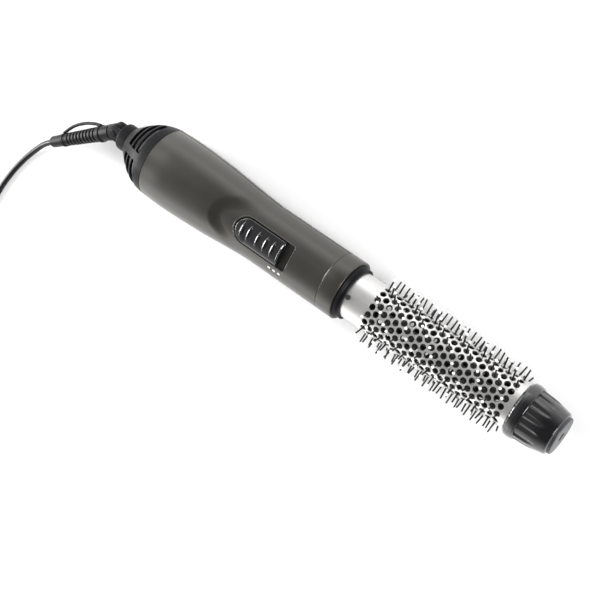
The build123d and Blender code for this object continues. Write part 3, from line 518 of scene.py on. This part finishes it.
# A prism cuts the recess into the casing, and is removed afterwards.
CUT_LOW, CUT_HIGH = 8.0, 30.0
cutter_mesh = bmesh.new()
prism(cutter_mesh, [above(x, y, CUT_LOW) for x, y in recess_outline(0.0)],
      [above(x, y, CUT_HIGH) for x, y in recess_outline(0.0)])
bmesh.ops.recalc_face_normals(cutter_mesh, faces=cutter_mesh.faces)
cutter_data = bpy.data.meshes.new("recess_cutter")
cutter_mesh.to_mesh(cutter_data)
cutter_mesh.free()
cutter = bpy.data.objects.new("recess_cutter", cutter_data)
bpy.context.scene.collection.objects.link(cutter)
shell_half("casing_top", 0.0, "upper_shell", cutter)
shell_half("casing_bottom", 180.0, "lower_shell")
bpy.data.objects.remove(cutter)

# --- nose and front ring -----------------------------------------------------------------------
HANDLE_BORE = HANDLE_RADIUS - HANDLE_WALL
BARREL_RADIUS = 16.0
COLLAR_BORE = BARREL_RADIUS + 0.1
ROUND_SEGMENTS = 160

bm = bmesh.new()
lathe(bm, HANDLE, rounded([(SLEEVE_SEAM, HANDLE_BORE), (SLEEVE_SEAM, HANDLE_RADIUS, 0.3),
                           (0.0, HANDLE_RADIUS, 0.5), (0.0, HANDLE_BORE)]), ROUND_SEGMENTS)
piece("nose_band", bm, "handle", "handle_finish", ["nose_sleeve"])

bm = bmesh.new()
lathe(bm, HANDLE, rounded([(0.0, COLLAR_BORE), (0.0, 19.3, 0.2), (1.0, 19.3, 0.6),
                           (1.9, 18.1, 0.8), (3.5, 17.2, 0.3), (3.7, 17.9, 0.15),
                           (4.5, 17.9, 0.25), (4.5, COLLAR_BORE)]), ROUND_SEGMENTS)
piece("front_collar", bm, "handle", "black_plastic", ["front_ring"])

# --- rear cap ----------------------------------------------------------------------------------
DOME = [(-189.5, 11.0), (-187.0, 13.0), (-181.0, 17.7), (-174.0, 21.9), (-167.0, 24.2),
        (CAP_SEAM, 25.1)]
SLOTS = [(-182.4, -178.2), (-177.0, -172.8), (-171.6, -167.6)]
BRIDGE_HALF = 2.8
CAP_WALL = 2.0
CAP_REAR = DOME[0][0]
CAP_RIM = -165.0
CAP_MOUTH = 10.0


def cap_rows():
    """Stations of the cap's rings, with the slots' edges among them."""
    edges = sorted([edge for span in SLOTS for edge in span] + [CAP_REAR, CAP_RIM, CAP_SEAM])
    stations = []
    for low, high in zip(edges, edges[1:]):
        parts = max(2, round(high - low))
        stations += [low + (high - low) * part / parts for part in range(parts)]
    return stations + [CAP_SEAM - 0.3, CAP_SEAM]


CAP_STATIONS = cap_rows()
BRIDGE_STEPS = 4
QUARTER_STEPS = 30
CAP_STEPS = BRIDGE_STEPS + QUARTER_STEPS


def cap_angle(column, radius):
    """The angle of a column: each quarter has a bridge of one width, and then an open part."""
    quarter, step = divmod(column, CAP_STEPS)
    edge = degrees(asin(min(1.0, BRIDGE_HALF / radius)))
    if step < BRIDGE_STEPS:
        return 90 * quarter - edge + 2 * edge * step / BRIDGE_STEPS
    return 90 * quarter + edge + (90 - 2 * edge) * (step - BRIDGE_STEPS) / QUARTER_STEPS


def cap_open(row, column):
    """True where the cap's wall is cut away by a slot."""
    middle = (CAP_STATIONS[max(0, row - 1)] + CAP_STATIONS[row]) / 2
    return (row > 0 and column % CAP_STEPS >= BRIDGE_STEPS
            and any(low < middle < high for low, high in SLOTS))


bm = bmesh.new()
rows = [[HANDLE.at(CAP_REAR, CAP_MOUTH, cap_angle(column, CAP_MOUTH))
         for column in range(4 * CAP_STEPS)]]
for station in CAP_STATIONS:
    radius = height_on(DOME, station) - (0.25 if station == CAP_SEAM else 0.0)
    rows.append([HANDLE.at(station, radius, cap_angle(column, radius))
                 for column in range(4 * CAP_STEPS)])
grid(bm, rows, closed=True, skip=cap_open)
piece("vented_cap", bm, "handle", "black_plastic", ["rear_cap"], thicken=CAP_WALL, bevel=0.22,
      grip=50.0)

# --- barrel ------------------------------------------------------------------------------------
BARREL_START = -22.0
BARREL_END = 128.6
HOLE_RADIUS = 2.1
HOLES_PER_RING = 18
HOLE_RINGS = 23
FIRST_RING = 23.3
RING_PITCH = 4.51
BARREL_TURN = 3.2
RING_STEP = 360.0 / HOLES_PER_RING
CELL_ACROSS = 8
CELL_ALONG = 6
HOLE_RIM = 0.14


def cell_edge():
    """Points around a cell of one hole, as shares of its half size along and around."""
    edge = [(1.0, -1 + 2 * k / CELL_ACROSS) for k in range(CELL_ACROSS)]
    edge += [(1 - 2 * k / CELL_ALONG, 1.0) for k in range(CELL_ALONG)]
    edge += [(-1.0, 1 - 2 * k / CELL_ACROSS) for k in range(CELL_ACROSS)]
    edge += [(-1 + 2 * k / CELL_ALONG, -1.0) for k in range(CELL_ALONG)]
    return edge


bm = bmesh.new()
arc_length = radians(1) * BARREL_RADIUS
half_around = RING_STEP / 2 * arc_length
half_along = RING_PITCH / 2
for row in range(HOLE_RINGS):
    for hole in range(HOLES_PER_RING):
        centre_angle = 90 + BARREL_TURN + hole * RING_STEP + (row % 2) * RING_STEP / 2
        centre = FIRST_RING + row * RING_PITCH
        rings = [[], [], []]
        for along, around in cell_edge():
            x, y = along * half_along, around * half_around
            spread = sqrt(x * x + y * y)
            for ring, radius in zip(rings, (None, HOLE_RADIUS + HOLE_RIM, HOLE_RADIUS)):
                px, py = (x, y) if radius is None else (x * radius / spread, y * radius / spread)
                ring.append(HANDLE.at(centre + px, BARREL_RADIUS, centre_angle + py / arc_length))
        grid(bm, rings, closed=True)
plain_columns = HOLES_PER_RING * CELL_ACROSS


def plain_band(bm, stations):
    """A stretch of the barrel without holes, whose columns meet those of the cells."""
    turn = 90 + BARREL_TURN + RING_STEP / 2
    rows = [[HANDLE.at(station, BARREL_RADIUS, turn + 360 * c / plain_columns)
             for c in range(plain_columns)] for station in stations]
    grid(bm, rows, closed=True)


first_edge = FIRST_RING - half_along
last_edge = FIRST_RING + (HOLE_RINGS - 0.5) * RING_PITCH
plain_band(bm, [BARREL_START, -2.0, 6.0, 14.0, first_edge])
plain_band(bm, [last_edge, (last_edge + BARREL_END) / 2, BARREL_END])
piece("perforated_barrel", bm, "handle", "barrel_metal", ["barrel"], thicken=0.8, bevel=0.16,
      rounds=1, grip=50.0)

# --- tip ---------------------------------------------------------------------------------------
FLANGE_END = 136.4
KNOB_END = 157.2
TIP_END = 159.0
FLUTES = 14
FLUTE_RADIUS = 2.5
FLUTE_CENTRE = 18.2
KNOB = [(FLANGE_END, 17.0), (146.5, 16.3), (155.0, 14.6)]
FLUTE_STEPS = 26
FLUTE_EDGE = 0.45
KNOB_START = FLANGE_END + 0.3
KNOB_LENGTH = 18.3
KNOB_STEPS = 48
FLUTES_END = 156.0
LEAST_FLUTED = 14.0
AROUND = FLUTES * FLUTE_STEPS


def fluted(radius, angle):
    """The knob's radius where a flute may cut it, with the flute's edges rounded."""
    off = radians((angle + 180 / FLUTES) % (360 / FLUTES) - 180 / FLUTES)
    side = FLUTE_CENTRE * sin(off)
    if abs(side) < FLUTE_RADIUS:
        cut = FLUTE_CENTRE * cos(off) - sqrt(FLUTE_RADIUS ** 2 - side ** 2)
    else:
        cut = FLUTE_CENTRE
    mix = ease(0.5 + (cut - radius) / (2 * FLUTE_EDGE))
    return radius * mix + cut * (1 - mix) - FLUTE_EDGE * mix * (1 - mix) * 0.6


bm = bmesh.new()
flange = rounded([(BARREL_END, 2.0), (BARREL_END, 17.0, 0.4), (130.2, 18.15, 1.5),
                  (132.6, 18.4, 2.0), (135.0, 18.1, 1.5), (FLANGE_END, 17.6, 0.5),
                  (FLANGE_END + 0.02, 17.05)], 5)
knob = [(station, height_on(KNOB, station))
        for station in (KNOB_START + KNOB_LENGTH * k / KNOB_STEPS for k in range(KNOB_STEPS + 1))]
knob_rim = rounded([(155.2, 14.55), (156.4, 14.25, 0.5), (157.1, 13.1, 0.4), (KNOB_END, 12.72)], 6)
rows = []
for station, radius in [*flange, *knob, *knob_rim, (KNOB_END - 0.6, 12.72),
                        (KNOB_END - 0.6, 2.0)]:
    row = []
    cut_here = FLANGE_END < station < FLUTES_END and radius > LEAST_FLUTED
    for column in range(AROUND):
        angle = 360 * column / AROUND
        row.append(HANDLE.at(station, fluted(radius, angle) if cut_here else radius, angle))
    rows.append(row)
closed_ring(bm, rows)
piece("fluted_tip", bm, "handle", "gloss_black", ["tip_cap"], smooth=50.0)

bm = bmesh.new()
lathe(bm, HANDLE, rounded([(KNOB_END - 0.5, 0.0), (KNOB_END - 0.5, 12.65), (KNOB_END, 12.65),
                           (TIP_END, 12.65, 0.9), (TIP_END, 2.9, 0.2), (TIP_END - 0.7, 2.7, 0.15),
                           (TIP_END - 0.7, 0.0)]), 128)
piece("end_disc", bm, "handle", "disc_grey", ["tip_disc"])

# --- switch ------------------------------------------------------------------------------------
BEZEL_TOP = 20.8
BEZEL_FOOT = 15.0


def on_round(station, across, radius):
    """A point on a round about the axis, above a place seen from above."""
    return above(station, across, sqrt(radius * radius - across * across))


RIM_LEVELS = [(0.05, BEZEL_FOOT), (0.05, BEZEL_TOP - 0.25), (0.12, BEZEL_TOP - 0.08),
              (0.3, BEZEL_TOP), (0.6, BEZEL_TOP), (0.8, BEZEL_TOP - 0.08),
              (0.92, BEZEL_TOP - 0.3), (0.95, BEZEL_FOOT)]
bm = bmesh.new()
closed_ring(bm, [[on_round(x, y, radius) for x, y in recess_outline(inset)]
                 for inset, radius in RIM_LEVELS])
piece("recess_rim", bm, "handle", "bezel_grey", ["switch_bezel"], smooth=60.0)

BUTTON_REAR = -81.9
BUTTON_FRONT = -45.3
BUTTON_HALF = 8.4
BUTTON_FOOT = 16.15
BUTTON_TOP = 21.0
RIDGES = (-76.7, -71.1, -63.9, -57.6, -51.7)
REAR_STEPS = 30
SIDE_STEPS = 16
FRONT_STEPS = 14
RIDGE_STEPS = 24
RIDGE_SIDES = 12
RIDGE_ROOT = 0.4
STEM_FOOT = 14.4
STEM = [(-67.0, -2.0), (-59.0, -2.0), (-59.0, 2.0), (-67.0, 2.0)]


def button_row(inset, radius):
    """One level of the button's side: its outline drawn in, on a round about the axis."""
    half = BUTTON_HALF - inset
    centre = BUTTON_REAR + BUTTON_HALF
    front = BUTTON_FRONT - inset
    points = [(centre - half * sin(pi * k / REAR_STEPS), half * cos(pi * k / REAR_STEPS))
              for k in range(REAR_STEPS + 1)]
    points += [(centre + (front - centre) * k / SIDE_STEPS, -half) for k in range(1, SIDE_STEPS)]
    points += [(front, -half + 2 * half * k / FRONT_STEPS) for k in range(FRONT_STEPS + 1)]
    points += [(front - (front - centre) * k / SIDE_STEPS, half) for k in range(1, SIDE_STEPS)]
    if radius is None:
        return [above(x, y, BUTTON_FOOT) for x, y in points]
    return [on_round(x, y, radius) for x, y in points]


def ridge(bm, station, half_length, half_width, height, pointed):
    """A rounded bar across the button, lying on its curved top, with its ends drawn out."""
    rows = []
    for k in range(RIDGE_STEPS + 1):
        across = half_length * sin((2 * k / RIDGE_STEPS - 1) * pi / 2)
        size = max(0.02, (1 - abs(across / half_length) ** pointed) ** 0.8)
        row = []
        for j in range(RIDGE_SIDES + 1):
            ahead = cos(pi * j / RIDGE_SIDES)
            lift = height * (1 - abs(ahead) ** 1.3) * size if 0 < j < RIDGE_SIDES else -RIDGE_ROOT
            row.append(on_round(station + half_width * ahead * size, across, BUTTON_TOP + lift))
        rows.append(row)
    made = grid(bm, rows, closed=True)
    bm.faces.new(made[0])
    bm.faces.new(made[-1])


bm = bmesh.new()
rows = [button_row(0.1, None), button_row(0.0, 17.0), button_row(0.0, BUTTON_TOP - 0.6),
        button_row(0.06, BUTTON_TOP - 0.3), button_row(0.2, BUTTON_TOP - 0.1),
        button_row(0.5, BUTTON_TOP)]
made = grid(bm, rows, closed=True)
bm.faces.new(made[0])
# The top is closed by strips across it, so that it stays round.
top = made[-1]
low_side = top[REAR_STEPS:REAR_STEPS + SIDE_STEPS]
high_side = [top[-c] for c in range(SIDE_STEPS)]
strips = []
for near, far in zip(low_side, high_side):
    station = (near.co.x - NOSE.x) / MM
    start, width = near.co.y / MM, (far.co.y - near.co.y) / MM
    strips.append([near, *[bm.verts.new(on_round(station, start + width * k / FRONT_STEPS,
                                                 BUTTON_TOP)) for k in range(1, FRONT_STEPS)], far])
front_first = REAR_STEPS + SIDE_STEPS
strips.append(top[front_first:front_first + FRONT_STEPS + 1])
for one, two in zip(strips, strips[1:]):
    for c in range(FRONT_STEPS):
        bm.faces.new((one[c], one[c + 1], two[c + 1], two[c]))
bm.faces.new(top[:REAR_STEPS + 1] + strips[0][1:-1])
for station in RIDGES:
    ridge(bm, station, half_length=5.6, half_width=1.5, height=0.75, pointed=2)
ridge(bm, BUTTON_FRONT - 0.85, half_length=7.6, half_width=0.85, height=0.9, pointed=8)
prism(bm, [above(x, y, STEM_FOOT) for x, y in STEM],
      [above(x, y, BUTTON_FOOT + 0.6) for x, y in STEM])
piece("switch_button", bm, "power_slider", "gloss_black", ["slide_button"], smooth=50.0)

# --- swivel, elbow and strain relief -----------------------------------------------------------
EAR_IN = 2.6
EAR_OUT = 5.2
ARM_RADIUS = 5.4
PIN_SPACE = 1.6
ARM_END = 20.4
PLATE_STEPS = 28
PLATE_RIM = 0.35
ARM_START = ARM_RADIUS + 0.4


def plate(bm, centre, ahead, across, low, high, length, half_width, hole):
    """A flat lug with a round end about a pin, as a solid with a hole through it."""
    side = ahead.cross(across).normalized()
    angles = [-pi / 2 + pi * k / PLATE_STEPS for k in range(PLATE_STEPS + 1)]

    def half_round(radius):
        return [centre + (side * sin(angle) - ahead * cos(angle)) * radius * MM
                for angle in angles]

    def outline(inset):
        corner = side * (half_width - inset)
        return half_round(half_width - inset) + [centre + (ahead * length + corner) * MM,
                                                 centre + (ahead * length - corner) * MM]

    round_hole = half_round(hole) + [centre + (ahead * 0.6 + side * 0.8) * hole * MM,
                                     centre + (ahead * 0.6 - side * 0.8) * hole * MM]
    rim = PLATE_RIM
    levels = [(low, rim), (low + rim * 0.3, rim * 0.3), (low + rim, 0.0), (high - rim, 0.0),
              (high - rim * 0.3, rim * 0.3), (high, rim)]
    rows = [[point + across * low * MM for point in round_hole]]
    rows += [[point + across * level * MM for point in outline(inset)] for level, inset in levels]
    rows.append([point + across * high * MM for point in round_hole])
    closed_ring(bm, rows)


bm = bmesh.new()
lathe(bm, HANDLE, rounded([(-198.2, 0.0), (-198.2, 9.6, 1.4), (-187.4, 9.6, 0.3),
                           (-187.4, 4.0), (-182.5, 4.0), (-182.5, 3.4), (-179.5, 3.4),
                           (-179.5, 4.0), (-177.0, 4.0), (-177.0, 3.4), (-174.0, 3.4),
                           (-174.0, 4.0), (-170.8, 4.0), (-170.8, 3.5), (-170.0, 3.5),
                           (-170.0, 4.0), (-169.5, 4.0), (-169.5, 0.0)], 5), 96)
for low, high in ((EAR_IN, EAR_OUT), (-EAR_OUT, -EAR_IN)):
    plate(bm, KNUCKLE, AHEAD, PIN_LINE, low, high, 7.5, ARM_RADIUS - 0.1, PIN_SPACE)
PIN_TURN = Turning(KNUCKLE, PIN_LINE, AHEAD)
for side in (-1, 1):
    cover = [(-0.25, 0.0), (-0.25, 3.0), (0.05, 3.0, 0.1), (0.45, 2.4, 0.4), (0.55, 0.0)]
    lathe(bm, PIN_TURN, rounded([(side * (EAR_OUT + point[0]), *point[1:]) for point in cover]), 48)
piece("turning_collar", bm, "cord_swivel", "black_plastic", ["swivel_collar"], smooth=40.0)

bm = bmesh.new()
plate(bm, KNUCKLE, EXIT, PIN_LINE, 0.2 - EAR_IN, EAR_IN - 0.2, 8.0, ARM_RADIUS - 0.05,
      PIN_SPACE + 0.05)
lathe(bm, LEAD, rounded([(ARM_START, 0.0), (ARM_START, ARM_RADIUS, 0.5),
                         (ARM_END, ARM_RADIUS, 0.6), (ARM_END, 0.0)], 6), 72)
piece("elbow_joint", bm, "cord_elbow", "black_plastic", ["elbow_arm"], smooth=40.0)

RIB_PITCH = 3.7
RIB_LENGTH = 2.1
RIBS = 9
RIB_RADIUS = 5.3
RIB_TAPER = 0.08
FIRST_RIB = ARM_END + 1.2
ROOT = 3.3
SLEEVE = 4.3
outline = [(ARM_END, 0.0), (ARM_END, ROOT)]
for rib in range(RIBS):
    start = FIRST_RIB + rib * RIB_PITCH
    outer = RIB_RADIUS - RIB_TAPER * rib
    outline += [(start, ROOT, 0.2), (start, outer, 0.25), (start + RIB_LENGTH, outer, 0.25),
                (start + RIB_LENGTH, ROOT, 0.2)]
outline += [(ARM_END + RIBS * RIB_PITCH + 0.6, SLEEVE, 0.3), (61.0, SLEEVE, 2.0),
            (70.7, 4.05, 0.4), (RELIEF_END, 3.5), (RELIEF_END, 0.0)]
bm = bmesh.new()
lathe(bm, LEAD, rounded(outline), 64)
relief = piece("bend_relief", bm, "cord_elbow", "relief_rubber", ["strain_relief"], smooth=50.0)

LOOP_ROLL = radians(-10.75)
LOOP_SIDE = LEAD.side * cos(LOOP_ROLL) + LEAD.start * sin(LOOP_ROLL)
LOOP_WIRE = 1.15
LOOP_POINTS = [(16.2, 5.6), (23.0, 7.7), (33.5, 9.0), (45.5, 8.3), (57.2, 5.0)]
WIRE_SIDES = 20
CLIP_RISE = 0.6
bm = bmesh.new()
rows = []
loop_line = curve_through(LOOP_POINTS, 48)
across_loop = EXIT.cross(LOOP_SIDE)
for index, (along, out) in enumerate(loop_line):
    one = loop_line[max(0, index - 1)]
    two = loop_line[min(len(loop_line) - 1, index + 1)]
    heading = (EXIT * (two[0] - one[0]) + LOOP_SIDE * (two[1] - one[1])).normalized()
    normal = across_loop.cross(heading)
    centre = KNUCKLE + (EXIT * along + LOOP_SIDE * out) * MM
    turns = [2 * pi * c / WIRE_SIDES for c in range(WIRE_SIDES)]
    rows.append([centre + (normal * cos(turn) + across_loop * sin(turn)) * LOOP_WIRE * MM
                 for turn in turns])
made = grid(bm, rows, closed=True)
bm.faces.new(made[0])
bm.faces.new(made[-1])
for low, high, inner in ((15.2, 18.0, ARM_RADIUS), (56.0, 58.8, SLEEVE)):
    lathe(bm, LEAD, rounded([(low, inner + 0.01), (low, inner + CLIP_RISE, 0.3),
                             (high, inner + CLIP_RISE, 0.3), (high, inner + 0.01)]), 64)
loop = piece("hang_loop", bm, "cord_elbow", "black_plastic", ["hanging_loop"], smooth=50.0)

# --- carried-over CAD nodes --------------------------------------------------------------------
for row in frame["record"]["subparts"]:
    node = frame["nodes"][row["node"]]
    for entry in node.material_slots:
        entry.material = MATERIALS[row["material_slot"]]

# --- floor and light ---------------------------------------------------------------------------
floor_mesh = bmesh.new()
bmesh.ops.create_grid(floor_mesh, x_segments=1, y_segments=1, size=3.0)
floor_data = bpy.data.meshes.new("floor")
floor_mesh.to_mesh(floor_data)
floor_mesh.free()
floor = bpy.data.objects.new("floor", floor_data)
floor_data.materials.append(surface("floor_paper", (0.86, 0.86, 0.86), 0.9, spread=0.01,
                                    grain=300.0, bump=0.02, specular=0.1))
bpy.context.scene.collection.objects.link(floor)


def area_light(name, place, target, width, height, power):
    data = bpy.data.lights.new(name, "AREA")
    data.shape = "RECTANGLE"
    data.size = width
    data.size_y = height
    data.energy = power
    light = bpy.data.objects.new(name, data)
    light.location = place
    direction = Vector(target) - Vector(place)
    light.rotation_euler = direction.to_track_quat("-Z", "Y").to_euler()
    bpy.context.scene.collection.objects.link(light)


def sun_light(name, direction, spread, strength):
    """A far, broad and even light from one direction, which spreads over an angle in degrees."""
    data = bpy.data.lights.new(name, "SUN")
    data.energy = strength
    data.angle = radians(spread)
    light = bpy.data.objects.new(name, data)
    light.rotation_euler = (-Vector(direction)).to_track_quat("-Z", "Y").to_euler()
    bpy.context.scene.collection.objects.link(light)


sun_light("tip_softbox", (0.85, 0.25, 0.55), 30.0, 4.0)
sun_light("rear_fill", (-0.80, 0.30, 0.55), 40.0, 0.9)
area_light("rear_softbox", (-0.95, -0.30, 0.40), (0.0, 0.0, 0.0), 0.60, 0.32, 13.0)

# The studio is bright along its horizon behind the tool, and dark overhead and beyond the tip.
world = bpy.data.worlds.new("studio")
bpy.context.scene.world = world
world.use_nodes = True
sky_nodes = world.node_tree.nodes
sky_links = world.node_tree.links
sky_place = sky_nodes.new("ShaderNodeTexCoord")
sky_axes = sky_nodes.new("ShaderNodeSeparateXYZ")
sky_links.new(sky_place.outputs["Generated"], sky_axes.inputs["Vector"])


def sky_fade(axis, start, end, bright, dark):
    """A brightness that goes smoothly from bright to dark along one axis of the directions."""
    fade = sky_nodes.new("ShaderNodeMapRange")
    fade.interpolation_type = "SMOOTHSTEP"
    fade.inputs["From Min"].default_value = start
    fade.inputs["From Max"].default_value = end
    fade.inputs["To Min"].default_value = bright
    fade.inputs["To Max"].default_value = dark
    sky_links.new(sky_axes.outputs[axis], fade.inputs["Value"])
    return fade.outputs["Result"]


sky_light = sky_nodes.new("ShaderNodeMath")
sky_light.operation = "MULTIPLY"
sky_links.new(sky_fade("Z", 0.0, 0.8, 2.3, 0.38), sky_light.inputs[0])
sky_links.new(sky_fade("X", -0.25, 0.30, 1.0, 0.35), sky_light.inputs[1])
sky_links.new(sky_light.outputs["Value"], sky_nodes["Background"].inputs["Color"])
sky_nodes["Background"].inputs["Strength"].default_value = 1.0
bpy.context.scene.view_settings.view_transform = "Standard"
